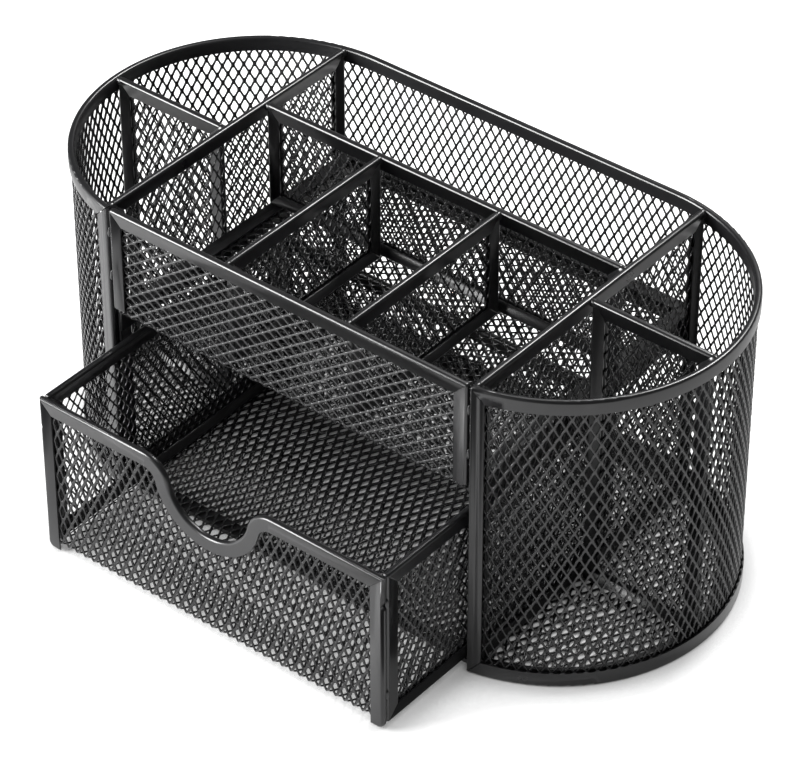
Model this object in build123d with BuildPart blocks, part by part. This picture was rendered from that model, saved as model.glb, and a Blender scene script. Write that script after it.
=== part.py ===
from build123d import *

import os
from math import sqrt

# Pen stand with eight open compartments and one drawer, made of expanded steel
# mesh whose edges are held in folded steel strip and spot welded together.
# Millimetres, +Z up, +Y to the straight back, -Y to the drawer front. The origin
# is on the desk, midway between the centres of the two round ends. The drawer is
# drawn pulled out by DRAWER_OPEN.

# Overall sizes
LENGTH = 220.0
END_RADIUS = 55.0           # outside of the round ends, and half the depth there
HEIGHT = 101.0

# Sheet and strip
MESH_THICKNESS = 0.8
STRIP_WIDTH = 4.4           # face of the folded strip
STRIP_THICKNESS = 2.2       # over both faces
STRIP_RADIUS = 0.9          # rounding along the fold and at the corners
SLOT_DEPTH = 3.4            # how far a mesh sheet enters its strip
SLOT_CLEARANCE = 0.1        # spare width of the slot round a sheet
SEAM_WIDTH = 0.3            # of the 45 degree seams at the corners
SEAM_DEPTH = 0.25           # where the seam only creases a strip that bends on

# Stand
BASE_THICKNESS = 1.4        # folded strip round the base sheet
BASE_SETBACK = 3.0          # front edge of the base behind the front panel
WALL_FOOT = 5.0             # height of the strip round the foot of the wall
POCKET_LENGTH = 44.2        # from the end of the stand to the middle of its cross wall
WALL_END_OVERLAP = 0.8      # of the round wall's end past the middle of the cross wall
MID_WALL_Y = 15.6
TRAY_DIVIDER_X = 21.7
END_DIVIDER_Y = -1.7
FRONT_SIDE_GAP = 0.4        # between the front panel and each cross wall
SHELF_Z = 64.3              # middle of the shelf's sheet
SHELF_REAR_GAP = 0.9        # between the shelf and the round wall's sheet
SHELF_LIP = 6.2             # leg of the shelf's strip down the walls
BEND_RADIUS = 2.0           # outside of the bends in the mesh
FIT_GAP = 0.3               # between neighbouring strips that are welded together

# Drawer
DRAWER_SIDE_GAP = 1.8       # beside the drawer, to each cross wall
DRAWER_REAR_GAP = 1.3       # behind the drawer when it is shut
DRAWER_HEAD_ROOM = 2.0      # over the drawer, to the strip under the shelf
DRAWER_FLOOR_GAP = 0.2      # drawer floor above the base strip
DRAWER_TOE = 1.0            # front strips reach this far below the floor
DRAWER_OPEN = 33.8
DRAWER_FOOT_RADIUS = 2.2    # lower outer corners of the front strip
NOTCH_RADIUS = 15.0
NOTCH_DEPTH = 18.5
NOTCH_SHOULDER = 9.0

# Spot welds
WELD_LENGTH = 2.6
WELD_WIDTH = 1.0
WELD_THICKNESS = 0.5
PINCH_RADIUS = 1.7          # bite that the upper weld leaves in a front corner of the drawer
PINCH_DEPTH = 0.8
WELD_CLEARANCE = 0.01       # between a bead and the rounded edges it lies on
FRONT_WELD_RISE = 11.2      # of the lower weld above the foot of the front panel's strip
FRONT_WELD_DROP = 8.5       # of the upper weld below the top
DRAWER_WELD_RISE = 10.4     # of the lower weld above the drawer's floor
DRAWER_WELD_DROP = 10.0     # of the upper weld below the drawer's top

# Worked out from the sizes above
end_centre_x = LENGTH / 2 - END_RADIUS
wall_mid_radius = END_RADIUS - STRIP_THICKNESS / 2
wall_inner_radius = END_RADIUS - STRIP_THICKNESS
strip_edge = STRIP_WIDTH - SLOT_DEPTH       # solid part of a strip, past its slot
half_strip = STRIP_THICKNESS / 2
cross_wall_x = LENGTH / 2 - POCKET_LENGTH
cross_wall_inner_x = cross_wall_x - half_strip
cross_wall_outer_x = cross_wall_x + half_strip
into_end = max(0, cross_wall_outer_x - end_centre_x)
cross_wall_end_y = sqrt(wall_inner_radius**2 - into_end**2) - FIT_GAP
wall_end_x = cross_wall_x - WALL_END_OVERLAP
wall_end_y = -sqrt(wall_mid_radius**2 - max(0, wall_end_x - end_centre_x) ** 2)
stand_front_y = wall_end_y - half_strip     # the front panel lies in line with the wall's ends
front_half_width = cross_wall_inner_x - FRONT_SIDE_GAP
front_inner_y = stand_front_y + STRIP_THICKNESS
base_front_y = stand_front_y + BASE_SETBACK
shelf_half_width = cross_wall_inner_x - FIT_GAP
shelf_rear_y = wall_mid_radius - MESH_THICKNESS / 2 - SHELF_REAR_GAP
tray_floor = SHELF_Z + half_strip + FIT_GAP
front_weld_heights = (SHELF_Z + BEND_RADIUS + FRONT_WELD_RISE, HEIGHT - FRONT_WELD_DROP)
drawer_bottom = BASE_THICKNESS + DRAWER_FLOOR_GAP
drawer_top = SHELF_Z - half_strip - SHELF_LIP - DRAWER_HEAD_ROOM
drawer_half_width = cross_wall_inner_x - DRAWER_SIDE_GAP
drawer_front_y = stand_front_y - DRAWER_OPEN
drawer_back_y = wall_inner_radius - DRAWER_REAR_GAP - DRAWER_OPEN
drawer_sheet_half_width = drawer_half_width - STRIP_THICKNESS - FIT_GAP
drawer_weld_heights = (drawer_bottom + DRAWER_WELD_RISE, drawer_top - DRAWER_WELD_DROP)
bead_radius = STRIP_RADIUS * (sqrt(2) - 1) - WELD_CLEARANCE

written = []


def save(builder, name):
    """Name a finished sub-part and write it."""
    builder.part.label = name
    export_step(builder.part, f"parts/{name}.step")
    written.append(name)


def facing_side(x, y, z):
    """Plane of a panel that faces along X: its own X is +Y and its own Y is +Z."""
    return Plane(origin=(x, y, z), x_dir=(0, 1, 0), z_dir=(1, 0, 0))


def facing_front(x, y, z):
    """Plane of a panel that faces the front: its own X is +X and its own Y is +Z."""
    return Plane(origin=(x, y, z), x_dir=(1, 0, 0), z_dir=(0, -1, 0))


def corner_creases(plane, half_length, corners):
    """The space of the 45 degree creases in a strip's two faces where it turns.

    corners are the heights of the frame's outer corners in the plane, each with
    the way from there to the frame's middle.
    """
    with BuildPart() as creases:
        for side in (-1, 1):
            with BuildSketch(plane.offset(side * (half_strip - SEAM_DEPTH))):
                for end in (-1, 1):
                    for edge, inward in corners:
                        middle = (end * (half_length - STRIP_WIDTH / 2), edge + inward * STRIP_WIDTH / 2)
                        with Locations(middle):
                            Rectangle(2 * STRIP_WIDTH, SEAM_WIDTH, rotation=-45 * end * inward)
            extrude(amount=side * STRIP_THICKNESS)
    return creases.part


def make_panel(name, plane, length, height):
    """A flat mesh sheet and the strip folded round its four edges."""
    with BuildPart() as sheet:
        with BuildSketch(plane):
            Rectangle(length - 2 * strip_edge, height - 2 * strip_edge)
        extrude(amount=MESH_THICKNESS / 2, both=True)
    save(sheet, f"{name}_mesh")

    creases = corner_creases(plane, length / 2, ((-height / 2, 1), (height / 2, -1)))
    with BuildPart() as frame:
        with BuildSketch(plane):
            Rectangle(length, height)
        extrude(amount=half_strip, both=True)
        fillet(frame.edges(), radius=STRIP_RADIUS)
        with BuildSketch(plane):
            Rectangle(length - 2 * STRIP_WIDTH, height - 2 * STRIP_WIDTH)
        extrude(amount=STRIP_THICKNESS, both=True, mode=Mode.SUBTRACT)
        with BuildSketch(plane):
            Rectangle(length - 2 * strip_edge, height - 2 * strip_edge)
        extrude(amount=MESH_THICKNESS / 2, both=True, mode=Mode.SUBTRACT)
        add(creases, mode=Mode.SUBTRACT)
    save(frame, f"{name}_frame")


# ---------------------------------------------------------------- round wall
def wall_plan(thickness, end_x):
    """Plan of the wall: both round ends and the straight back, open at the front."""
    outer = wall_mid_radius + thickness / 2
    inner = wall_mid_radius - thickness / 2
    SlotOverall(2 * (end_centre_x + outer), 2 * outer)
    SlotOverall(2 * (end_centre_x + inner), 2 * inner, mode=Mode.SUBTRACT)
    with Locations((0, -END_RADIUS)):
        Rectangle(2 * end_x, 2 * END_RADIUS, mode=Mode.SUBTRACT)


def wall_slot():
    """The space that the wall's sheet takes up inside its strips."""
    with BuildPart() as slot:
        with BuildSketch(Plane.XY.offset(strip_edge)):
            wall_plan(MESH_THICKNESS + SLOT_CLEARANCE, wall_end_x + strip_edge)
        extrude(amount=HEIGHT - 2 * strip_edge)
    return slot.part


def mitre_wedge(side, edge_z, rise, cut_end_strip):
    """A prism behind the mitred seam at one front corner of the wall.

    edge_z is the height of the wall's edge there, and rise the height of the strip
    along it, negative from the top edge down.
    """
    corner_x = side * (wall_end_x + (0 if cut_end_strip else SEAM_WIDTH))
    outside = (corner_x - side * 2 * STRIP_WIDTH, edge_z - 2 * rise)
    inside = (corner_x + side * 2 * STRIP_WIDTH, edge_z + 2 * rise)
    third = (inside[0], outside[1]) if cut_end_strip else (outside[0], inside[1])
    with BuildPart() as wedge:
        with BuildSketch(Plane.XZ.offset(END_RADIUS - 2 * STRIP_WIDTH)):
            with BuildLine():
                Polyline(outside, inside, third, close=True)
            make_face()
        extrude(amount=4 * STRIP_WIDTH)
    return wedge.part


def make_wall_rim(name, edge_z, rise):
    """The strip folded over the wall's top or bottom edge, from corner to corner."""
    cuts = [wall_slot()] + [mitre_wedge(side, edge_z, rise, False) for side in (-1, 1)]
    with BuildPart() as rim:
        with BuildSketch(Plane.XY.offset(edge_z)):
            wall_plan(STRIP_THICKNESS, wall_end_x)
        extrude(amount=rise)
        level_faces = rim.faces().filter_by(Axis.Z).sort_by(Axis.Z)
        folded_face = level_faces[0] if rise > 0 else level_faces[-1]
        fillet(folded_face.edges(), radius=STRIP_RADIUS)
        add(cuts, mode=Mode.SUBTRACT)
    save(rim, name)


def make_wall_end_strip(name, side):
    """The upright strip folded over one end of the wall, beside the drawer."""
    cuts = [
        wall_slot(),
        mitre_wedge(side, HEIGHT, -STRIP_WIDTH, True),
        mitre_wedge(side, 0, WALL_FOOT, True),
    ]
    with BuildPart() as strip:
        with BuildSketch():
            wall_plan(STRIP_THICKNESS, wall_end_x)
            with Locations((side * (wall_end_x + STRIP_WIDTH / 2), -END_RADIUS)):
                Rectangle(STRIP_WIDTH, END_RADIUS, mode=Mode.INTERSECT)
        extrude(amount=HEIGHT)
        upright_edges = strip.edges().filter_by(Axis.Z).sort_by(Axis.X)
        folded_edges = upright_edges[:2] if side > 0 else upright_edges[-2:]
        fillet(folded_edges, radius=STRIP_RADIUS)
        add(cuts, mode=Mode.SUBTRACT)
    save(strip, name)


def make_round_wall():
    with BuildPart() as sheet:
        with BuildSketch(Plane.XY.offset(strip_edge)):
            wall_plan(MESH_THICKNESS, wall_end_x + strip_edge)
        extrude(amount=HEIGHT - 2 * strip_edge)
    save(sheet, "round_wall_mesh")
    make_wall_rim("round_wall_top_strip", HEIGHT, -STRIP_WIDTH)
    make_wall_rim("round_wall_bottom_strip", 0, WALL_FOOT)
    make_wall_end_strip("left_wall_end_strip", -1)
    make_wall_end_strip("right_wall_end_strip", 1)


# ---------------------------------------------------------------- base
def base_plan():
    """Outline of the base: inside the foot of the wall, straight along the front."""
    radius = wall_inner_radius - FIT_GAP
    SlotOverall(2 * (end_centre_x + radius), 2 * radius)
    with Locations((0, base_front_y - END_RADIUS)):
        Rectangle(LENGTH, 2 * END_RADIUS, mode=Mode.SUBTRACT)


def make_base():
    mesh_bottom = (BASE_THICKNESS - MESH_THICKNESS) / 2
    with BuildPart() as sheet:
        with BuildSketch(Plane.XY.offset(mesh_bottom)):
            base_plan()
            offset(amount=-strip_edge)
        extrude(amount=MESH_THICKNESS)
    save(sheet, "base_mesh")

    with BuildPart() as ring:
        with BuildSketch():
            base_plan()
        extrude(amount=BASE_THICKNESS)
        with BuildSketch():
            base_plan()
            offset(amount=-STRIP_WIDTH)
        extrude(amount=BASE_THICKNESS, mode=Mode.SUBTRACT)
        with BuildSketch(Plane.XY.offset(mesh_bottom)):
            base_plan()
            offset(amount=-strip_edge)
        extrude(amount=MESH_THICKNESS, mode=Mode.SUBTRACT)
    save(ring, "base_strip")


# ---------------------------------------------------------------- inner walls
def make_cross_walls():
    """The two walls from front to back that close the round ends off."""
    middle_z = (BASE_THICKNESS + HEIGHT) / 2
    for name, side in (("left", -1), ("right", 1)):
        plane = facing_side(side * cross_wall_x, 0, middle_z)
        make_panel(f"{name}_cross_wall", plane, 2 * cross_wall_end_y, HEIGHT - BASE_THICKNESS)


def wall_inner_x(half_thickness):
    """Where the wall's strip stops something this thick beside the end divider's middle."""
    reach_y = abs(END_DIVIDER_Y) + half_thickness
    return end_centre_x + sqrt(wall_inner_radius**2 - reach_y**2)


def make_end_dividers():
    """The short walls that halve each round end."""
    far_x = wall_inner_x(half_strip) - FIT_GAP
    near_x = cross_wall_outer_x + FIT_GAP
    middle_z = (BASE_THICKNESS + HEIGHT) / 2
    for name, side in (("left", -1), ("right", 1)):
        plane = facing_front(side * (near_x + far_x) / 2, END_DIVIDER_Y, middle_z)
        make_panel(f"{name}_end_divider", plane, far_x - near_x, HEIGHT - BASE_THICKNESS)


def make_mid_wall():
    """The wall between the long back compartment and the three front trays."""
    plane = facing_front(0, MID_WALL_Y, (tray_floor + HEIGHT) / 2)
    make_panel("mid_wall", plane, 2 * shelf_half_width, HEIGHT - tray_floor)


def make_tray_dividers():
    """The two dividers between the front trays."""
    front_y = front_inner_y + FIT_GAP
    back_y = MID_WALL_Y - half_strip - FIT_GAP
    middle_y = (front_y + back_y) / 2
    for name, side in (("left", -1), ("right", 1)):
        plane = facing_side(side * TRAY_DIVIDER_X, middle_y, (tray_floor + HEIGHT) / 2)
        make_panel(f"{name}_tray_divider", plane, back_y - front_y, HEIGHT - tray_floor)


# ---------------------------------------------------------------- front panel and shelf
def bent_sheet(path, half_width):
    """A mesh sheet bent along a path of (y, z) points, drawn on its outer face."""
    with BuildPart() as sheet:
        with BuildSketch(Plane.YZ):
            with BuildLine():
                FilletPolyline(*path, radius=BEND_RADIUS)
                offset(amount=MESH_THICKNESS, side=Side.LEFT)
            make_face()
        extrude(amount=half_width, both=True)
    return sheet.part


def make_shelf_sheet():
    """One sheet: the front panel, bent under to make the floor of the trays."""
    outer_y = stand_front_y + half_strip - MESH_THICKNESS / 2
    outer_z = SHELF_Z - MESH_THICKNESS / 2
    path = [(outer_y, HEIGHT - strip_edge), (outer_y, outer_z), (shelf_rear_y - strip_edge, outer_z)]
    bent = bent_sheet(path, front_half_width - strip_edge)
    with BuildPart() as sheet:
        add(bent)
    save(sheet, "front_panel_and_shelf_mesh")


def upright_rectangle(half_width, low_z, high_z):
    """A rectangle on an upright plane through the middle, between two heights."""
    with Locations((0, (low_z + high_z) / 2)):
        Rectangle(2 * half_width, high_z - low_z)


def make_front_strip():
    """The strip on the top and sides of the front panel."""
    low_z = SHELF_Z + BEND_RADIUS
    below = low_z - STRIP_WIDTH
    plane = facing_front(0, stand_front_y + half_strip, 0)
    creases = corner_creases(plane, front_half_width, ((HEIGHT, -1),))
    with BuildPart() as strip:
        with BuildSketch(plane):
            upright_rectangle(front_half_width, low_z, HEIGHT)
        extrude(amount=half_strip, both=True)
        fillet(strip.edges(), radius=STRIP_RADIUS)
        with BuildSketch(plane):
            upright_rectangle(front_half_width - STRIP_WIDTH, below, HEIGHT - STRIP_WIDTH)
        extrude(amount=STRIP_THICKNESS, both=True, mode=Mode.SUBTRACT)
        with BuildSketch(plane):
            upright_rectangle(front_half_width - strip_edge, below, HEIGHT - strip_edge)
        extrude(amount=MESH_THICKNESS / 2, both=True, mode=Mode.SUBTRACT)
        add(creases, mode=Mode.SUBTRACT)
    save(strip, "front_panel_strip")


def make_shelf_strip():
    """The strip round the shelf's sides and back, with a leg down along the walls."""
    front_y = front_inner_y + FIT_GAP
    length = shelf_rear_y - front_y
    middle_y = (shelf_rear_y + front_y) / 2
    with BuildPart() as strip:
        with BuildSketch(Plane.XY.offset(SHELF_Z)):
            with Locations((0, middle_y)):
                Rectangle(2 * shelf_half_width, length)
            with Locations((0, middle_y - STRIP_WIDTH)):
                Rectangle(2 * (shelf_half_width - STRIP_WIDTH), length, mode=Mode.SUBTRACT)
        extrude(amount=half_strip, both=True)
        with BuildSketch(Plane.XY.offset(SHELF_Z)):
            with Locations((0, middle_y)):
                Rectangle(2 * shelf_half_width, length)
            with Locations((0, middle_y - MESH_THICKNESS)):
                Rectangle(2 * (shelf_half_width - MESH_THICKNESS), length, mode=Mode.SUBTRACT)
        extrude(amount=-half_strip - SHELF_LIP)
        with BuildSketch(Plane.XY.offset(SHELF_Z)):
            with Locations((0, shelf_rear_y - strip_edge - length)):
                Rectangle(2 * (front_half_width - strip_edge), 2 * length)
        extrude(amount=MESH_THICKNESS / 2, both=True, mode=Mode.SUBTRACT)
    save(strip, "shelf_strip")


# ---------------------------------------------------------------- drawer
def notch_block(step):
    """The space of the finger notch in the drawer front, lowered by step.

    A round bottom runs into the straight top edge over two round shoulders.
    """
    top = drawer_top - step
    bowl_radius = NOTCH_RADIUS + step
    shoulder = NOTCH_SHOULDER - step
    bowl_z = drawer_top - NOTCH_DEPTH + NOTCH_RADIUS
    shoulder_z = drawer_top - NOTCH_SHOULDER
    shoulder_x = sqrt((NOTCH_RADIUS + NOTCH_SHOULDER) ** 2 - (bowl_z - shoulder_z) ** 2)
    along = bowl_radius / (bowl_radius + shoulder)
    tangent = (along * shoulder_x, bowl_z + along * (shoulder_z - bowl_z))
    opposite = (-tangent[0], tangent[1])
    lowest = (0, bowl_z - bowl_radius)
    above = drawer_top + STRIP_WIDTH
    with BuildPart() as notch:
        with BuildSketch(facing_front(0, drawer_front_y + half_strip, 0)):
            with BuildLine():
                RadiusArc((-shoulder_x, top), opposite, shoulder)
                ThreePointArc(opposite, lowest, tangent)
                RadiusArc(tangent, (shoulder_x, top), shoulder)
                Polyline((shoulder_x, top), (shoulder_x, above), (-shoulder_x, above), (-shoulder_x, top))
            make_face()
        extrude(amount=2 * STRIP_THICKNESS, both=True)
    return notch.part


def front_window(plane, inset, half_depth, low_z):
    """A space inside the drawer front's outline, inset from its edge and its notch."""
    notch = notch_block(inset)
    with BuildPart() as window:
        with BuildSketch(plane):
            upright_rectangle(drawer_half_width - inset, low_z, drawer_top - inset)
        extrude(amount=half_depth, both=True)
        add(notch, mode=Mode.SUBTRACT)
    return window.part


def bend_room(outer_y, inward):
    """The space for a bend in the drawer's sheet, which the strips' inner faces clear."""
    half_width = drawer_sheet_half_width + FIT_GAP
    with BuildPart() as room:
        with Locations((0, outer_y + inward * STRIP_THICKNESS, drawer_bottom)):
            Box(2 * half_width, 2 * STRIP_THICKNESS, 2 * (BEND_RADIUS + FIT_GAP))
    return room.part


def make_drawer_front_strip():
    """The strip on the top and sides of the drawer front, dipping at the notch."""
    low_z = drawer_bottom - DRAWER_TOE
    below = low_z - STRIP_WIDTH
    plane = facing_front(0, drawer_front_y + half_strip, 0)
    notch = notch_block(0)
    window = front_window(plane, STRIP_WIDTH, STRIP_THICKNESS, below)
    slot = front_window(plane, strip_edge, MESH_THICKNESS / 2, below)
    bend = bend_room(drawer_front_y + half_strip - MESH_THICKNESS / 2, 1)
    creases = corner_creases(plane, drawer_half_width, ((drawer_top, -1),))
    with BuildPart() as strip:
        with BuildSketch(plane):
            upright_rectangle(drawer_half_width, low_z, drawer_top)
        extrude(amount=half_strip, both=True)
        lower_corners = strip.edges().filter_by(Axis.Y).sort_by(Axis.Z)[:2]
        fillet(lower_corners, radius=DRAWER_FOOT_RADIUS)
        add(notch, mode=Mode.SUBTRACT)
        fillet(strip.faces().filter_by(Axis.Y).edges(), radius=STRIP_RADIUS)
        add([window, slot, bend, creases], mode=Mode.SUBTRACT)
        pinch_x = drawer_half_width + PINCH_RADIUS - PINCH_DEPTH
        with BuildSketch(plane):
            with Locations((-pinch_x, drawer_weld_heights[-1]), (pinch_x, drawer_weld_heights[-1])):
                Circle(PINCH_RADIUS)
        extrude(amount=STRIP_THICKNESS, both=True, mode=Mode.SUBTRACT)
    save(strip, "drawer_front_strip")


def make_drawer_sheet():
    """One sheet: the drawer's front, floor and back, bent up at both ends."""
    bottom = drawer_bottom
    front_y = drawer_front_y + half_strip - MESH_THICKNESS / 2
    back_y = drawer_back_y - half_strip + MESH_THICKNESS / 2
    top = drawer_top - strip_edge
    path = [(front_y, top), (front_y, bottom), (back_y, bottom), (back_y, top)]
    bent = bent_sheet(path, drawer_sheet_half_width)
    notch = notch_block(strip_edge)
    with BuildPart() as sheet:
        add(bent)
        add(notch, mode=Mode.SUBTRACT)
    save(sheet, "drawer_mesh")


def make_drawer_back_strip():
    """The strip on the top and sides of the drawer's back."""
    below = drawer_bottom - STRIP_WIDTH
    plane = facing_front(0, drawer_back_y - half_strip, 0)
    bend = bend_room(drawer_back_y - half_strip + MESH_THICKNESS / 2, -1)
    creases = corner_creases(plane, drawer_half_width, ((drawer_top, -1),))
    with BuildPart() as strip:
        with BuildSketch(plane):
            upright_rectangle(drawer_half_width, drawer_bottom, drawer_top)
        extrude(amount=half_strip, both=True)
        fillet(strip.edges(), radius=STRIP_RADIUS)
        with BuildSketch(plane):
            upright_rectangle(drawer_half_width - STRIP_WIDTH, below, drawer_top - STRIP_WIDTH)
        extrude(amount=STRIP_THICKNESS, both=True, mode=Mode.SUBTRACT)
        with BuildSketch(plane):
            upright_rectangle(drawer_half_width - strip_edge, below, drawer_top - strip_edge)
        extrude(amount=MESH_THICKNESS / 2, both=True, mode=Mode.SUBTRACT)
        add([bend, creases], mode=Mode.SUBTRACT)
    save(strip, "drawer_back_strip")


def make_drawer_sides():
    """The two framed mesh panels between the drawer's front and back."""
    front_y = drawer_front_y + STRIP_THICKNESS
    back_y = drawer_back_y - STRIP_THICKNESS
    middle_y = (front_y + back_y) / 2
    middle_z = (drawer_bottom + drawer_top) / 2
    for name, side in (("left", -1), ("right", 1)):
        plane = facing_side(side * (drawer_half_width - half_strip), middle_y, middle_z)
        make_panel(f"drawer_{name}_side", plane, back_y - front_y, drawer_top - drawer_bottom)


# ---------------------------------------------------------------- spot welds
def weld_pad(low, high):
    """A spot weld that fills the gap between two corners, low and high."""
    with Locations(tuple(sum(ends) / 2 for ends in zip(low, high))):
        Box(*[end - start for start, end in zip(low, high)])


def make_stand_welds():
    """Spot welds between the strips that show: front corners, mid wall, dividers."""
    half_thickness = WELD_THICKNESS / 2
    half_width = WELD_WIDTH / 2
    half_length = WELD_LENGTH / 2
    top_z = HEIGHT - STRIP_WIDTH / 2
    front_y = stand_front_y + half_strip
    divider_far_x = wall_inner_x(half_strip) - FIT_GAP
    with BuildPart() as welds:
        for side in (-1, 1):
            corner_xs = sorted((side * front_half_width, side * wall_end_x))
            for z in front_weld_heights:
                weld_pad(
                    (corner_xs[0], front_y - half_thickness, z - half_length),
                    (corner_xs[1], front_y + half_thickness, z + half_length),
                )
            for near_x, far_x, y in (
                (shelf_half_width, cross_wall_inner_x, MID_WALL_Y),
                (cross_wall_outer_x, cross_wall_outer_x + FIT_GAP, END_DIVIDER_Y),
                (divider_far_x, wall_inner_x(half_thickness), END_DIVIDER_Y),
            ):
                wall_xs = sorted((side * near_x, side * far_x))
                weld_pad(
                    (wall_xs[0], y - half_thickness, top_z - half_width),
                    (wall_xs[1], y + half_thickness, top_z + half_width),
                )
            divider_x = side * TRAY_DIVIDER_X
            for near_y in (front_inner_y, MID_WALL_Y - half_strip - FIT_GAP):
                weld_pad(
                    (divider_x - half_thickness, near_y, top_z - half_width),
                    (divider_x + half_thickness, near_y + FIT_GAP, top_z + half_width),
                )
    save(welds, "stand_welds")


def make_drawer_welds():
    """Beads up the drawer's corners, in the grooves between rounded strips."""
    with BuildPart() as welds:
        for side in (-1, 1):
            for y in (drawer_front_y + STRIP_THICKNESS, drawer_back_y - STRIP_THICKNESS):
                for z in drawer_weld_heights:
                    with Locations((side * drawer_half_width, y, z)):
                        Cylinder(bead_radius, WELD_LENGTH)
    save(welds, "drawer_welds")


def main():
    os.makedirs("parts", exist_ok=True)
    make_base()
    make_round_wall()
    make_cross_walls()
    make_end_dividers()
    make_mid_wall()
    make_tray_dividers()
    make_shelf_sheet()
    make_front_strip()
    make_shelf_strip()
    make_drawer_sheet()
    make_drawer_front_strip()
    make_drawer_back_strip()
    make_drawer_sides()
    make_stand_welds()
    make_drawer_welds()
    print(len(written), "sub-parts written")


main()
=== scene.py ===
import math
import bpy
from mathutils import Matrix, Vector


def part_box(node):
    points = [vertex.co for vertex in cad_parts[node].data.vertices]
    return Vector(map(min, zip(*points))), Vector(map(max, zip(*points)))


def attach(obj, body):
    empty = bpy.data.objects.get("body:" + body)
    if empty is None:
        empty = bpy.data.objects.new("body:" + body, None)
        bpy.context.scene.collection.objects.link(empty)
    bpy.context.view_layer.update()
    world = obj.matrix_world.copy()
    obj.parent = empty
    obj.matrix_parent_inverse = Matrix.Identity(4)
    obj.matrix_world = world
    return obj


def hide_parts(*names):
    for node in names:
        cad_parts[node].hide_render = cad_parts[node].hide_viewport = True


bl_info = {
    "name": "Mesh Pen Stand with Drawer",
    "version": (1, 0, 0),
    "blender": (4, 5, 0),
    "location": "3D View > Sidebar > Pen Stand",
    "description": "Builds a pen stand of expanded steel mesh and folded strip, and its studio",
    "category": "Object",
}

import bpy
from bpy.props import FloatProperty, PointerProperty, StringProperty
from mathutils import Vector

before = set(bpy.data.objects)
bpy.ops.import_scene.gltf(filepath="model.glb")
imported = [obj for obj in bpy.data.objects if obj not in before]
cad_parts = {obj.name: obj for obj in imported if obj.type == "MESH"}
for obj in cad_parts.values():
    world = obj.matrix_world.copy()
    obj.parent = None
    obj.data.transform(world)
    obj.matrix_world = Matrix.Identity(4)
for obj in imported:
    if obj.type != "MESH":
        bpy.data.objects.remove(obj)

MM = 0.001
ACROSS = Vector((1, 0, 0))
BACK = Vector((0, 1, 0))
UP = Vector((0, 0, 1))
QUARTER = math.pi / 2

# the CAD sheets, which the nets take the place of
HALF_SHEET = 0.4 * MM
BEND_MIDDLE_RADIUS = 1.6 * MM       # middle of the sheet in the bends of shelf and drawer
BEND_PARTS = 4                      # flat parts in each quarter turn of the sheet
WALL_END_INSET = 1.0 * MM           # from the edge of the wall end strip to the net inside it

# the finger notch in the edge of the drawer's front strip
NOTCH_BOWL_RADIUS = 15.0 * MM
NOTCH_SHOULDER_RADIUS = 9.0 * MM
NOTCH_DEPTH = 18.5 * MM
NOTCH_INSET = 1.0 * MM              # from the edge of the strip to the net inside it

# weld beads: half sizes along X, Y and Z, and places
TOP_BEAD_ALONG_X = (2.1 * MM, 1.25 * MM, 1.4 * MM)
TOP_BEAD_ALONG_Y = (1.25 * MM, 2.1 * MM, 1.4 * MM)
TOP_BEAD_DROP = 1.42 * MM           # from the top of the rim to the middle of a bead
SEAM_BEAD = (0.55 * MM, 0.7 * MM, 1.9 * MM)
SEAM_BEAD_HEIGHTS = (77.5 * MM, 92.5 * MM)
SEAM_BEAD_INSET = 0.75 * MM         # back from the front of the panel's strip
DRAWER_BEAD = (0.6 * MM, 0.7 * MM, 1.7 * MM)
DRAWER_BEAD_HEIGHTS = (12 * MM, 45 * MM)
DRAWER_BEAD_INSET = 0.25 * MM       # in from the side of the drawer's frame
BEAD_LOWER_SHAPE = (1.12, 1.12, 0.8)

# modelling
NET_MERGE = 0.01 * MM
STRIP_MERGE = 0.002 * MM
FOLD_ANGLE = math.radians(35)       # edges sharper than this stay sharp

# the paints: sRGB colours are in the settings, sizes of their patterns in mm
STRIP_PAINT = "powder coat on strip"
MESH_PAINT = "powder coat on mesh"
CLOUD_MM = 9
CLOUD_PALER = 1.22
CLOUD_GLOSS = 0.06
PEEL_STRENGTH = 0.5

# the studio, in metres
FLOOR_SIZE = 6
FLOOR_PAINTED_SHADOW_REACH = 25 * MM        # how far from the stand the floor's glow is dimmed, a painted contact shadow
FLOOR_PAINTED_SHADOW_POWER = 2.0
LIT_POINT = Vector((0, -0.01, 0.05))
KEY_PLACE, KEY_SIZE = (-0.5, -0.6, 0.38), 0.4
BACK_PLACE, BACK_SIZE = (-0.06, 0.75, 1.05), 0.27
CAMERA_PLACE = (0.560905, -0.694266, 0.729899)
CAMERA_TURN = math.radians(39.05)
CAMERA_RISE = math.radians(37.77)


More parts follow.
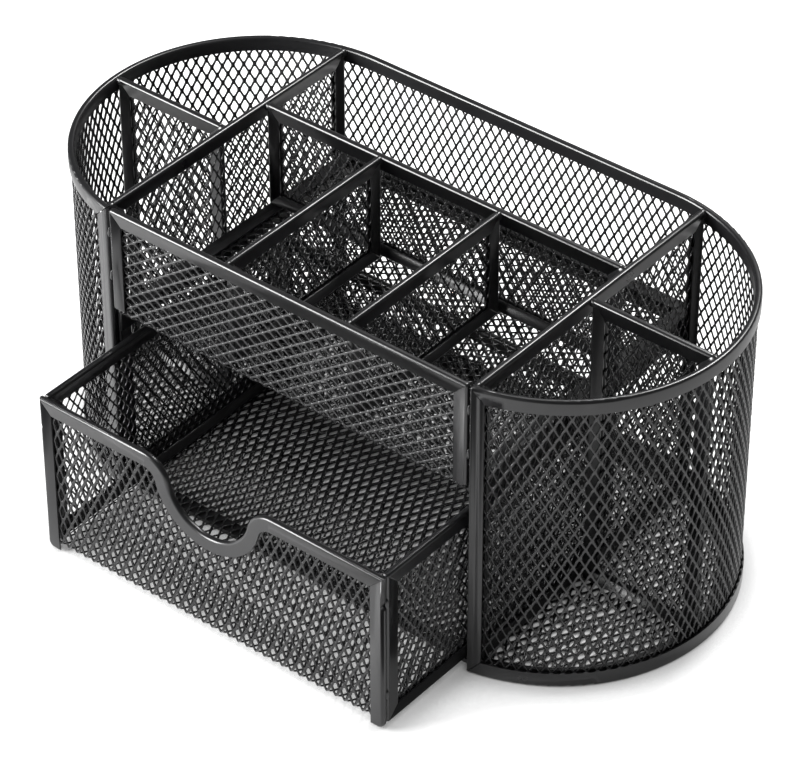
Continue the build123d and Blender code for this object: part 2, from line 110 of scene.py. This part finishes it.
# ---------------------------------------------------------------- settings
class PenStandNet(bpy.types.PropertyGroup):
    """Sizes of the expanded metal: slit sheet pulled open into diamonds."""

    long_pitch: FloatProperty(
        name="Long pitch",
        description="Middle to middle of two openings along the diamond",
        default=6.02 * MM,
        unit="LENGTH",
    )
    short_pitch: FloatProperty(
        name="Short pitch",
        description="Middle to middle of two openings across the diamond",
        default=3.25 * MM,
        unit="LENGTH",
    )
    front_long_pitch: FloatProperty(
        name="Front panel long pitch",
        description="Long pitch of the wider sheet of the front panel and shelf",
        default=5.0 * MM,
        unit="LENGTH",
    )
    front_short_pitch: FloatProperty(
        name="Front panel short pitch",
        description="Short pitch of the wider sheet of the front panel and shelf",
        default=3.65 * MM,
        unit="LENGTH",
    )
    drawer_long_pitch: FloatProperty(
        name="Drawer long pitch",
        description="Long pitch of the sheet of the drawer's front, floor and back",
        default=6.45 * MM,
        unit="LENGTH",
    )
    drawer_side_long_pitch: FloatProperty(
        name="Drawer side long pitch",
        description="Long pitch of the sheets of the drawer's sides",
        default=5.1 * MM,
        unit="LENGTH",
    )
    strand_width: FloatProperty(
        name="Strand width",
        description="Width of the metal between two openings",
        default=0.54 * MM,
        unit="LENGTH",
    )
    inner_strand_width: FloatProperty(
        name="Inner strand width",
        description="Strand width of the lighter sheets of the inner walls and the drawer's sides",
        default=0.4 * MM,
        unit="LENGTH",
    )
    strand_thickness: FloatProperty(
        name="Strand thickness",
        description="Thickness of the slit sheet with its paint",
        default=0.42 * MM,
        unit="LENGTH",
    )
    strand_tilt: FloatProperty(
        name="Strand tilt",
        description="How far one edge of a strand stands out of the sheet's middle",
        default=0.25 * MM,
        unit="LENGTH",
    )
    corner: FloatProperty(
        name="Corner",
        description="Cut across each corner of an opening, where the paint rounds it",
        default=0.36 * MM,
        unit="LENGTH",
    )


class PenStandFinish(bpy.types.PropertyGroup):
    """Colours of the paint and of the studio."""

    strip_colour: StringProperty(
        name="Strip colour",
        description="sRGB hex value of the paint on the strip",
        default="#101011",
    )
    mesh_colour: StringProperty(
        name="Mesh colour",
        description="sRGB hex value of the paint on the mesh",
        default="#0f0f10",
    )
    floor_colour: StringProperty(
        name="Floor colour",
        description="sRGB hex value of the studio floor",
        default="#d0d0d0",
    )
    seen_floor_colour: StringProperty(
        name="Seen floor colour",
        description="sRGB hex value of the floor where the camera sees it",
        default="#909090",
    )


class PenStandStudio(bpy.types.PropertyGroup):
    """Light in the studio and the camera's lens."""

    key_power: FloatProperty(
        name="Key lamp",
        description="Power of the soft lamp at the front left",
        default=20,
        unit="POWER",
    )
    back_power: FloatProperty(
        name="Back lamp",
        description="Power of the soft lamp behind",
        default=18,
        unit="POWER",
    )
    ambient: FloatProperty(
        name="Ambient",
        description="Strength of the light from all round",
        default=1.0,
    )
    reflected: FloatProperty(
        name="Reflected",
        description="Strength of what the paint mirrors all round",
        default=0.1,
    )
    lens: FloatProperty(
        name="Lens",
        description="Focal length of the camera",
        default=174.36,
        unit="CAMERA",
    )


# ---------------------------------------------------------------- colours and nodes
def linear(hex_colour):
    """Turns an sRGB hex value into a linear colour."""
    parts = [int(hex_colour[i : i + 2], 16) / 255 for i in (1, 3, 5)]
    return tuple(c / 12.92 if c <= 0.04045 else ((c + 0.055) / 1.055) ** 2.4 for c in parts) + (1.0,)


def add_node(tree, kind, settings=None, links=None):
    """Adds a node, sets its properties and sockets by name, and links its inputs."""
    node = tree.nodes.new(kind)
    for name, value in (settings or {}).items():
        if isinstance(name, str) and hasattr(node, name):
            setattr(node, name, value)
        else:
            node.inputs[name].default_value = value
    for name, (source, output) in (links or {}).items():
        tree.links.new(source.outputs[output], node.inputs[name])
    return node


def new_material(name):
    """An empty node material and its tree."""
    material = bpy.data.materials.new(name)
    material.use_nodes = True
    material.node_tree.nodes.clear()
    return material, material.node_tree


def powder_coat(name, hex_colour, roughness, peel_mm, peel_height_mm):
    """Black polyester powder coat baked on steel.

    The powder melts into a satin skin that stays slightly rippled, as orange peel
    is, so highlights are soft and their edges waver.
    """
    material, tree = new_material(name)
    place = add_node(tree, "ShaderNodeTexCoord")
    peel = add_node(
        tree,
        "ShaderNodeTexNoise",
        {"Scale": 1 / (peel_mm * MM), "Detail": 2.0, "Roughness": 0.55},
        {"Vector": (place, "Object")},
    )
    cloud = add_node(
        tree,
        "ShaderNodeTexNoise",
        {"Scale": 1 / (CLOUD_MM * MM), "Detail": 4.0, "Roughness": 0.6},
        {"Vector": (place, "Object")},
    )
    dark = linear(hex_colour)
    pale = tuple(min(1.0, c * CLOUD_PALER) for c in dark[:3]) + (1.0,)
    tint = add_node(
        tree,
        "ShaderNodeMix",
        {"data_type": "RGBA", 6: dark, 7: pale},
        {0: (cloud, "Fac")},
    )
    gloss = add_node(
        tree,
        "ShaderNodeMapRange",
        {"To Min": roughness - CLOUD_GLOSS, "To Max": roughness + CLOUD_GLOSS},
        {"Value": (cloud, "Fac")},
    )
    bump = add_node(
        tree,
        "ShaderNodeBump",
        {"Strength": PEEL_STRENGTH, "Distance": peel_height_mm * MM},
        {"Height": (peel, "Fac")},
    )
    shader = add_node(
        tree,
        "ShaderNodeBsdfPrincipled",
        {"IOR": 1.5, "Specular IOR Level": 0.5},
        {"Base Color": (tint, 2), "Roughness": (gloss, "Result"), "Normal": (bump, "Normal")},
    )
    add_node(tree, "ShaderNodeOutputMaterial", links={"Surface": (shader, "BSDF")})
    return material


def finish_material(name):
    """One of the stand's two paints, made the first time it is asked for."""
    if name not in bpy.data.materials:
        finish = bpy.context.scene.penstand_finish
        if name == STRIP_PAINT:
            powder_coat(name, finish.strip_colour, roughness=0.3, peel_mm=1.1, peel_height_mm=0.002)
        else:
            # on thin strands the powder melts a little glossier, with a finer and deeper ripple
            powder_coat(name, finish.mesh_colour, roughness=0.26, peel_mm=0.9, peel_height_mm=0.004)
    return bpy.data.materials[name]


def paint(piece, name):
    """Gives a piece one paint all over."""
    if not piece.material_slots:
        piece.data.materials.append(None)
    for slot in piece.material_slots:
        slot.material = finish_material(name)


# ---------------------------------------------------------------- modelling helpers
def only(piece):
    """Makes a piece the only one selected, and the active one."""
    bpy.ops.object.select_all(action="DESELECT")
    piece.select_set(True)
    bpy.context.view_layer.objects.active = piece


def edit_faces(piece, chosen):
    """Opens a piece for editing with the faces whose numbers are chosen selected."""
    only(piece)
    bpy.context.tool_settings.mesh_select_mode = (False, False, True)
    mesh = piece.data
    mesh.vertices.foreach_set("select", [False] * len(mesh.vertices))
    mesh.edges.foreach_set("select", [False] * len(mesh.edges))
    mesh.polygons.foreach_set("select", [i in chosen for i in range(len(mesh.polygons))])
    bpy.ops.object.mode_set(mode="EDIT")


def edit_all(piece):
    """Opens a piece for editing with all of it selected."""
    only(piece)
    bpy.ops.object.mode_set(mode="EDIT")
    bpy.ops.mesh.select_all(action="SELECT")


def close_edit():
    """Goes back from editing a piece."""
    bpy.ops.object.mode_set(mode="OBJECT")


def modify(piece, kind, **settings):
    """Adds a modifier and applies it."""
    only(piece)
    modifier = piece.modifiers.new(kind, kind)
    for name, value in settings.items():
        setattr(modifier, name, value)
    bpy.ops.object.modifier_apply(modifier=modifier.name)


# ---------------------------------------------------------------- expanded metal
def make_opening(name, pitch_x, pitch_y, lean, strand_width):
    """One diamond opening with the halves of the four strands round it, lying flat.

    lean is 1 or -1, the way that the strands lean out of the sheet.
    """
    net = bpy.context.scene.penstand_net
    to_side = pitch_x * pitch_y / (2 * math.hypot(pitch_x, pitch_y))
    open_share = 1 - strand_width / 2 / to_side
    bpy.ops.object.select_all(action="DESELECT")
    bpy.ops.mesh.primitive_circle_add(
        vertices=4, radius=open_share / 2, fill_type="NGON", enter_editmode=True
    )
    opening = bpy.context.object
    opening.name = opening.data.name = name
    bpy.ops.transform.resize(value=(pitch_x, pitch_y, 1))
    bpy.ops.mesh.bevel(offset_type="OFFSET", offset=net.corner, affect="VERTICES")
    bpy.ops.mesh.delete(type="ONLY_FACE")
    close_edit()
    # strands lean across the sheet's short way, as the pulling tool leaves them
    leaning = 0 if pitch_x < pitch_y else 1
    reach = max(point.co[leaning] for point in opening.data.vertices)
    for point in opening.data.vertices:
        point.co.z = lean * net.strand_tilt * point.co[leaning] / reach
    bpy.ops.object.mode_set(mode="EDIT")
    bpy.ops.mesh.primitive_circle_add(vertices=4, radius=0.5, fill_type="NOTHING")
    bpy.ops.transform.resize(value=(pitch_x, pitch_y, 1))
    bpy.ops.mesh.select_all(action="SELECT")
    bpy.ops.mesh.bridge_edge_loops()
    bpy.ops.mesh.normals_make_consistent(inside=False)
    close_edit()
    up = sum(face.normal.z for face in opening.data.polygons)
    if up < 0:
        edit_all(opening)
        bpy.ops.mesh.flip_normals()
        close_edit()
    return opening


def make_flat_net(name, length, width, pitch_x, pitch_y, limit=None, lean=1, strand_width=None):
    """A flat net from (0, 0) to (length, width), repeated from one opening.

    Points past the edge move on to it, and what lies wholly past it goes. The
    strips hide the edge, so no moved strand shows.
    """
    strand_width = strand_width or bpy.context.scene.penstand_net.strand_width
    net = make_opening(name, pitch_x, pitch_y, lean, strand_width)
    columns = math.ceil(length / pitch_x) + 1
    rows = math.ceil(width / pitch_y) + 1
    repeats = (
        (columns, (pitch_x, 0, 0)),
        (2, (pitch_x / 2, pitch_y / 2, 0)),
        (rows, (0, pitch_y, 0)),
    )
    for count, step in repeats:
        modify(
            net,
            "ARRAY",
            count=count,
            use_relative_offset=False,
            use_constant_offset=True,
            constant_offset_displace=step,
            use_merge_vertices=True,
            merge_threshold=NET_MERGE,
        )
    moved = set()
    for point in net.data.vertices:
        x = min(max(point.co.x, 0), length)
        y = min(max(point.co.y, 0), width)
        if limit:
            x, y = limit(x, y)
        if (x, y) != (point.co.x, point.co.y):
            moved.add(point.index)
            point.co.x = x
            point.co.y = y
    edit_faces(net, {face.index for face in net.data.polygons if moved.issuperset(face.vertices)})
    bpy.ops.mesh.delete(type="FACE")
    close_edit()
    return net


def cut_at(piece, places):
    """Cuts a flat piece's faces across, at these distances along it."""
    for place in places:
        edit_all(piece)
        bpy.ops.mesh.bisect(plane_co=(place, 0, 0), plane_no=(1, 0, 0))
        close_edit()


def lay_on_path(piece, start, heading, steps, ahead, left, across):
    """Bends a flat piece on to a path of runs and turns.

    Each step is a length and the angle turned over it, to the left if positive.
    The path lies in the plane of ahead and left, and across is the way of the
    piece's width.
    """
    stations = []
    place = start.copy()
    angle = heading
    reached = 0
    for length, turn in steps:
        stations.append((reached, length, turn, place.copy(), angle))
        place = walk(place, angle, length, turn, length, ahead, left)
        angle += turn
        reached += length
    for point in piece.data.vertices:
        along = point.co.x
        begun, length, turn, origin, angle = [s for s in stations if s[0] <= along + 1e-9][-1]
        spot = walk(origin, angle, length, turn, along - begun, ahead, left)
        way = angle + turn * (along - begun) / length
        forward = ahead * math.cos(way) + left * math.sin(way)
        point.co = spot + across * point.co.y + forward.cross(across) * point.co.z


def walk(origin, angle, length, turn, distance, ahead, left):
    """Where a walk of this distance into one step of a path ends."""
    if turn == 0:
        return origin + (ahead * math.cos(angle) + left * math.sin(angle)) * distance
    radius = length / turn
    way = angle + distance / radius
    to_ahead = radius * (math.sin(way) - math.sin(angle))
    to_left = radius * (math.cos(angle) - math.cos(way))
    return origin + ahead * to_ahead + left * to_left


def finish_net(net, node, body):
    """Gives the flat or bent net its thickness and paint, in place of the CAD sheet."""
    modify(net, "SOLIDIFY", thickness=bpy.context.scene.penstand_net.strand_thickness, offset=0)
    # the paint runs round each strand, so that it shades like a round bar
    bpy.ops.object.shade_smooth()
    paint(net, MESH_PAINT)
    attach(net, body)
    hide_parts(node)


def make_strip(node, body):
    """A folded strip, from a merged and smoothed copy of its CAD node."""
    only(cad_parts[node])
    bpy.ops.object.duplicate()
    strip = bpy.context.object
    strip.name = strip.data.name = f"{node}_folded"
    edit_all(strip)
    bpy.ops.mesh.remove_doubles(threshold=STRIP_MERGE)
    close_edit()
    bpy.ops.object.shade_smooth_by_angle(angle=FOLD_ANGLE)
    paint(strip, STRIP_PAINT)
    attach(strip, body)
    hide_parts(node)
    return strip


def make_panel_net(node, body, side_on, long_pitch, lean, strand_width):
    """The net of a flat upright panel, in place of its CAD sheet."""
    low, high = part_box(node)
    settings = bpy.context.scene.penstand_net
    middle = (low + high) / 2
    if side_on:
        start = Vector((middle.x, low.y, low.z))
        length = high.y - low.y
        ahead, left = BACK, -ACROSS
    else:
        start = Vector((low.x, middle.y, low.z))
        length = high.x - low.x
        ahead, left = ACROSS, BACK
    net = make_flat_net(
        f"{node}_net",
        length,
        high.z - low.z,
        settings.short_pitch,
        long_pitch,
        lean=lean,
        strand_width=strand_width,
    )
    lay_on_path(net, start, 0, [(length, 0)], ahead, left, UP)
    finish_net(net, node, body)


# ---------------------------------------------------------------- pieces
def bend_cuts(start):
    """Where the net is cut so that it bends smoothly round a quarter turn."""
    turn_length = BEND_MIDDLE_RADIUS * QUARTER
    return [start + turn_length * part / BEND_PARTS for part in range(BEND_PARTS + 1)]


class PENSTAND_OT_round_wall(bpy.types.Operator):
    """Adds the net of the round wall and paints its strips"""

    bl_idname = "penstand.round_wall"
    bl_label = "Round Wall"

    def execute(self, context):
        settings = context.scene.penstand_net
        low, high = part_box("round_wall_mesh")
        radius = high.y - HALF_SHEET
        centre_x = high.x - HALF_SHEET - radius
        first_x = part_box("right_wall_end_strip")[0].x + WALL_END_INSET
        reach_x = first_x - centre_x
        end_angle = math.asin(reach_x / radius)
        sweep = math.pi - end_angle
        start = Vector((-first_x, -radius * math.cos(end_angle), low.z))
        steps = [(radius * sweep, -sweep), (2 * centre_x, 0), (radius * sweep, -sweep)]
        length = sum(step[0] for step in steps)
        net = make_flat_net(
            "round_wall_net", length, high.z - low.z, settings.short_pitch, settings.long_pitch, lean=-1
        )
        heading = math.pi - end_angle
        lay_on_path(net, start, heading, steps, ACROSS, BACK, UP)
        finish_net(net, "round_wall_mesh", "stand")
        for place in ("round_wall_top", "round_wall_bottom", "left_wall_end", "right_wall_end"):
            make_strip(f"{place}_strip", "stand")
        return {"FINISHED"}


class PENSTAND_OT_base(bpy.types.Operator):
    """Adds the net of the base and paints its strip"""

    bl_idname = "penstand.base"
    bl_label = "Base"

    def execute(self, context):
        settings = context.scene.penstand_net
        low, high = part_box("base_mesh")
        radius = high.y
        centre_x = high.x - radius

        def keep_in(x, y):
            """Keeps a point inside the round ends of the base."""
            x += low.x
            y += low.y
            nearest_x = min(max(x, -centre_x), centre_x)
            away = math.hypot(x - nearest_x, y)
            if away > radius:
                x = nearest_x + (x - nearest_x) * radius / away
                y *= radius / away
            return x - low.x, y - low.y

        net = make_flat_net(
            "base_net",
            high.x - low.x,
            high.y - low.y,
            settings.short_pitch,
            settings.long_pitch,
            keep_in,
        )
        start = Vector((low.x, low.y, (low.z + high.z) / 2))
        lay_on_path(net, start, 0, [(high.x - low.x, 0)], ACROSS, -UP, BACK)
        finish_net(net, "base_mesh", "stand")
        make_strip("base_strip", "stand")
        return {"FINISHED"}


class PENSTAND_OT_inner_walls(bpy.types.Operator):
    """Adds the nets of the cross walls, mid wall and dividers and paints their frames"""

    bl_idname = "penstand.inner_walls"
    bl_label = "Inner Walls"

    def execute(self, context):
        settings = context.scene.penstand_net
        panels = [("mid_wall", False)]
        for side in ("left", "right"):
            panels.append((f"{side}_cross_wall", True))
            panels.append((f"{side}_end_divider", False))
            panels.append((f"{side}_tray_divider", True))
        for panel, side_on in panels:
            lean = 1 if side_on else -1
            make_panel_net(
                f"{panel}_mesh", "stand", side_on, settings.long_pitch, lean, settings.inner_strand_width
            )
            make_strip(f"{panel}_frame", "stand")
        return {"FINISHED"}


class PENSTAND_OT_front_and_shelf(bpy.types.Operator):
    """Adds the net that is the front panel and, bent under, the floor of the trays"""

    bl_idname = "penstand.front_and_shelf"
    bl_label = "Front Panel and Shelf"

    def execute(self, context):
        settings = context.scene.penstand_net
        low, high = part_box("front_panel_and_shelf_mesh")
        down = high.z - low.z - HALF_SHEET - BEND_MIDDLE_RADIUS
        inward = high.y - low.y - HALF_SHEET - BEND_MIDDLE_RADIUS
        steps = [(down, 0), (BEND_MIDDLE_RADIUS * QUARTER, QUARTER), (inward, 0)]
        net = make_flat_net(
            "front_panel_and_shelf_net",
            sum(step[0] for step in steps),
            high.x - low.x,
            settings.front_short_pitch,
            settings.front_long_pitch,
            lean=-1,
        )
        cut_at(net, bend_cuts(down))
        start = Vector((low.x, low.y + HALF_SHEET, high.z))
        lay_on_path(net, start, -QUARTER, steps, BACK, UP, ACROSS)
        finish_net(net, "front_panel_and_shelf_mesh", "stand")
        for node in ("front_panel_strip", "shelf_strip"):
            make_strip(node, "stand")
        return {"FINISHED"}


class PENSTAND_OT_drawer(bpy.types.Operator):
    """Adds the nets of the drawer and paints its strips"""

    bl_idname = "penstand.drawer"
    bl_label = "Drawer"

    def execute(self, context):
        settings = context.scene.penstand_net
        low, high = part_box("drawer_mesh")
        up = high.z - low.z - HALF_SHEET - BEND_MIDDLE_RADIUS
        inward = high.y - low.y - 2 * HALF_SHEET - 2 * BEND_MIDDLE_RADIUS
        turn = (BEND_MIDDLE_RADIUS * QUARTER, QUARTER)
        steps = [(up, 0), turn, (inward, 0), turn, (up, 0)]
        middle = (high.x - low.x) / 2
        # the net's edge at the notch lies a little inside the strip, which hides it
        bowl = NOTCH_BOWL_RADIUS + NOTCH_INSET
        shoulder = NOTCH_SHOULDER_RADIUS - NOTCH_INSET
        bowl_drop = NOTCH_DEPTH - NOTCH_BOWL_RADIUS - NOTCH_INSET
        shoulder_drop = NOTCH_SHOULDER_RADIUS - NOTCH_INSET
        shoulder_x = math.sqrt((bowl + shoulder) ** 2 - (bowl_drop - shoulder_drop) ** 2)
        tangent_x = shoulder_x * bowl / (bowl + shoulder)

        def keep_in(x, y):
            """Keeps a point below the finger notch, at the start of the sheet."""
            aside = abs(y - middle)
            if aside < tangent_x:
                edge_x = bowl_drop + math.sqrt(bowl**2 - aside**2)
            elif aside < shoulder_x:
                edge_x = shoulder_drop - math.sqrt(shoulder**2 - (shoulder_x - aside) ** 2)
            else:
                edge_x = 0
            return max(x, edge_x), y

        net = make_flat_net(
            "drawer_net",
            sum(step[0] for step in steps),
            high.x - low.x,
            settings.drawer_long_pitch,
            settings.short_pitch,
            keep_in,
        )
        cut_at(net, bend_cuts(up) + bend_cuts(up + turn[0] + inward))
        start = Vector((low.x, low.y + HALF_SHEET, high.z))
        lay_on_path(net, start, -QUARTER, steps, BACK, UP, ACROSS)
        finish_net(net, "drawer_mesh", "drawer")
        for side, lean in (("left", 1), ("right", -1)):
            make_panel_net(
                f"drawer_{side}_side_mesh",
                "drawer",
                True,
                settings.drawer_side_long_pitch,
                lean,
                settings.inner_strand_width,
            )
            make_strip(f"drawer_{side}_side_frame", "drawer")
        for node in ("drawer_front_strip", "drawer_back_strip"):
            make_strip(node, "drawer")
        return {"FINISHED"}


def make_bead(place, half_sizes):
    """One weld bead: a drop of melted steel under the paint, flatter below than above."""
    bpy.ops.object.select_all(action="DESELECT")
    bpy.ops.mesh.primitive_uv_sphere_add(segments=16, ring_count=10, radius=1, location=place)
    bead = bpy.context.object
    only(bead)
    bpy.ops.object.transform_apply(location=True, rotation=False, scale=False)
    lower = {face.index for face in bead.data.polygons if face.center.z < place.z}
    edit_faces(bead, lower)
    bpy.ops.transform.resize(value=BEAD_LOWER_SHAPE, center_override=place)
    bpy.ops.mesh.select_all(action="SELECT")
    bpy.ops.transform.resize(value=half_sizes, center_override=place)
    close_edit()
    bpy.ops.object.shade_smooth()
    return bead


def join_beads(name, beads, node, body):
    """All the beads of one body as one piece, in place of its CAD welds."""
    bpy.ops.object.select_all(action="DESELECT")
    for bead in beads:
        bead.select_set(True)
    bpy.context.view_layer.objects.active = beads[0]
    bpy.ops.object.join()
    welds = bpy.context.object
    welds.name = welds.data.name = name
    paint(welds, STRIP_PAINT)
    bpy.context.scene.cursor.location = (0, 0, 0)
    bpy.ops.object.origin_set(type="ORIGIN_CURSOR")
    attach(welds, body)
    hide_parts(node)


class PENSTAND_OT_welds(bpy.types.Operator):
    """Adds the weld beads where strips meet"""

    bl_idname = "penstand.welds"
    bl_label = "Spot Welds"

    def execute(self, context):
        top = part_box("round_wall_top_strip")[1].z - TOP_BEAD_DROP
        cross_low, cross_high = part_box("right_cross_wall_frame")
        end_low, end_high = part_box("right_end_divider_frame")
        tray_low, tray_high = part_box("right_tray_divider_frame")
        mid_low, mid_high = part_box("mid_wall_frame")
        panel_low, panel_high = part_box("front_panel_strip")
        end_y = (end_low.y + end_high.y) / 2
        mid_y = (mid_low.y + mid_high.y) / 2
        cross_x = (cross_low.x + cross_high.x) / 2
        tray_x = (tray_low.x + tray_high.x) / 2
        wall_end_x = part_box("right_wall_end_strip")[0].x
        beads = []
        for side in (-1, 1):
            for x, y, sizes in (
                (mid_high.x, mid_y, TOP_BEAD_ALONG_X),
                (end_low.x, end_y, TOP_BEAD_ALONG_X),
                (end_high.x, end_y, TOP_BEAD_ALONG_X),
                (tray_x, tray_low.y, TOP_BEAD_ALONG_Y),
                (tray_x, tray_high.y, TOP_BEAD_ALONG_Y),
                (cross_x, cross_low.y, TOP_BEAD_ALONG_Y),
                (cross_x, cross_high.y, TOP_BEAD_ALONG_Y),
            ):
                beads.append(make_bead(Vector((side * x, y, top)), sizes))
            for z in SEAM_BEAD_HEIGHTS:
                x = (panel_high.x + wall_end_x) / 2
                beads.append(make_bead(Vector((side * x, panel_low.y + SEAM_BEAD_INSET, z)), SEAM_BEAD))
        join_beads("stand_weld_beads", beads, "stand_welds", "stand")

        beads = []
        side_low, side_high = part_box("drawer_right_side_frame")
        for side in (-1, 1):
            for y in (side_low.y, side_high.y):
                for z in DRAWER_BEAD_HEIGHTS:
                    place = Vector((side * (side_high.x - DRAWER_BEAD_INSET), y, z))
                    beads.append(make_bead(place, DRAWER_BEAD))
        join_beads("drawer_weld_beads", beads, "drawer_welds", "drawer")
        return {"FINISHED"}


# ---------------------------------------------------------------- studio
def add_lamp(name, place, aim, size, power):
    """A square soft lamp that shines on a point."""
    bpy.ops.object.select_all(action="DESELECT")
    bpy.ops.object.light_add(type="AREA", location=place)
    lamp = bpy.context.object
    lamp.name = lamp.data.name = name
    lamp.data.size = size
    lamp.data.energy = power
    lamp.rotation_mode = "QUATERNION"
    lamp.rotation_quaternion = (aim - Vector(place)).to_track_quat("-Z", "Y")


class PENSTAND_OT_stage(bpy.types.Operator):
    """Adds the floor, the lamps, the world and the camera"""

    bl_idname = "penstand.stage"
    bl_label = "Studio"

    def execute(self, context):
        scene = context.scene
        studio = scene.penstand_studio
        scene.view_settings.view_transform = "Standard"

        bpy.ops.object.select_all(action="DESELECT")
        bpy.ops.mesh.primitive_plane_add(size=FLOOR_SIZE)
        floor = context.object
        floor.name = floor.data.name = "studio_floor"
        material, tree = new_material("matt white studio paper")
        ray = add_node(tree, "ShaderNodeLightPath")
        # the camera sees darker paper with a glow of its own; ambient occlusion dims the glow near the
        # stand, a painted contact shadow
        paper = linear(scene.penstand_finish.floor_colour)
        seen = add_node(
            tree,
            "ShaderNodeMix",
            {"data_type": "RGBA", 6: paper, 7: linear(scene.penstand_finish.seen_floor_colour)},
            {0: (ray, "Is Camera Ray")},
        )
        # painted contact shadow: the floor's glow fades where ambient occlusion finds the stand close by
        open_sky = add_node(
            tree, "ShaderNodeAmbientOcclusion", {"samples": 4, "Distance": FLOOR_PAINTED_SHADOW_REACH}
        )
        painted_shadow = add_node(
            tree,
            "ShaderNodeMath",
            {"operation": "POWER", 1: FLOOR_PAINTED_SHADOW_POWER},
            {0: (open_sky, "AO")},
        )
        glow = add_node(
            tree,
            "ShaderNodeMath",
            {"operation": "MULTIPLY"},
            {0: (ray, "Is Camera Ray"), 1: (painted_shadow, "Value")},
        )
        shader = add_node(
            tree,
            "ShaderNodeBsdfPrincipled",
            {"Roughness": 0.9, "Emission Color": (1, 1, 1, 1)},
            {"Base Color": (seen, 2), "Emission Strength": (glow, "Value")},
        )
        add_node(tree, "ShaderNodeOutputMaterial", links={"Surface": (shader, "BSDF")})
        floor.data.materials.append(material)

        # the camera sees white all round, while the paint mirrors a dimmer room
        world = bpy.data.worlds.new("white studio")
        scene.world = world
        world.use_nodes = True
        tree = world.node_tree
        tree.nodes.clear()
        ray = add_node(tree, "ShaderNodeLightPath")
        mirrored = add_node(
            tree,
            "ShaderNodeMapRange",
            {"To Min": studio.ambient, "To Max": studio.reflected},
            {"Value": (ray, "Is Glossy Ray")},
        )
        strength = add_node(
            tree,
            "ShaderNodeMapRange",
            {"To Max": 1.0},
            {"Value": (ray, "Is Camera Ray"), "To Min": (mirrored, "Result")},
        )
        background = add_node(
            tree, "ShaderNodeBackground", {"Color": (1, 1, 1, 1)}, {"Strength": (strength, "Result")}
        )
        add_node(tree, "ShaderNodeOutputWorld", links={"Surface": (background, "Background")})

        add_lamp("key_softbox", KEY_PLACE, LIT_POINT, KEY_SIZE, studio.key_power)
        add_lamp("back_softbox", BACK_PLACE, LIT_POINT, BACK_SIZE, studio.back_power)

        bpy.ops.object.select_all(action="DESELECT")
        bpy.ops.object.camera_add(location=CAMERA_PLACE)
        camera = context.object
        camera.name = camera.data.name = "photo_camera"
        away = Vector(
            (
                math.sin(CAMERA_TURN) * math.cos(CAMERA_RISE),
                -math.cos(CAMERA_TURN) * math.cos(CAMERA_RISE),
                math.sin(CAMERA_RISE),
            )
        )
        camera.rotation_mode = "QUATERNION"
        camera.rotation_quaternion = (-away).to_track_quat("-Z", "Y")
        camera.data.sensor_fit = "HORIZONTAL"
        camera.data.sensor_width = 36
        camera.data.lens = studio.lens
        camera.data.clip_start = 0.05
        scene.camera = camera
        return {"FINISHED"}


# ---------------------------------------------------------------- add-on
class PENSTAND_PT_panel(bpy.types.Panel):
    """Lists the settings and the steps that build the pen stand"""

    bl_label = "Pen Stand"
    bl_idname = "PENSTAND_PT_panel"
    bl_space_type = "VIEW_3D"
    bl_region_type = "UI"
    bl_category = "Pen Stand"

    def draw(self, context):
        column = self.layout.column()
        scene = context.scene
        for group in (scene.penstand_net, scene.penstand_finish, scene.penstand_studio):
            for name in group.__annotations__:
                column.prop(group, name)
        for operator in OPERATORS:
            column.operator(operator.bl_idname)


OPERATORS = (
    PENSTAND_OT_stage,
    PENSTAND_OT_base,
    PENSTAND_OT_round_wall,
    PENSTAND_OT_inner_walls,
    PENSTAND_OT_front_and_shelf,
    PENSTAND_OT_drawer,
    PENSTAND_OT_welds,
)
CLASSES = (PenStandNet, PenStandFinish, PenStandStudio, *OPERATORS, PENSTAND_PT_panel)


def register():
    for cls in CLASSES:
        bpy.utils.register_class(cls)
    bpy.types.Scene.penstand_net = PointerProperty(type=PenStandNet)
    bpy.types.Scene.penstand_finish = PointerProperty(type=PenStandFinish)
    bpy.types.Scene.penstand_studio = PointerProperty(type=PenStandStudio)


def unregister():
    del bpy.types.Scene.penstand_studio
    del bpy.types.Scene.penstand_finish
    del bpy.types.Scene.penstand_net
    for cls in reversed(CLASSES):
        bpy.utils.unregister_class(cls)


def main():
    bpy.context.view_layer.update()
    register()
    bpy.ops.penstand.stage()
    bpy.ops.penstand.base()
    bpy.ops.penstand.round_wall()
    bpy.ops.penstand.inner_walls()
    bpy.ops.penstand.front_and_shelf()
    bpy.ops.penstand.drawer()
    bpy.ops.penstand.welds()
    bpy.context.view_layer.update()


if __name__ == "__main__":
    main()
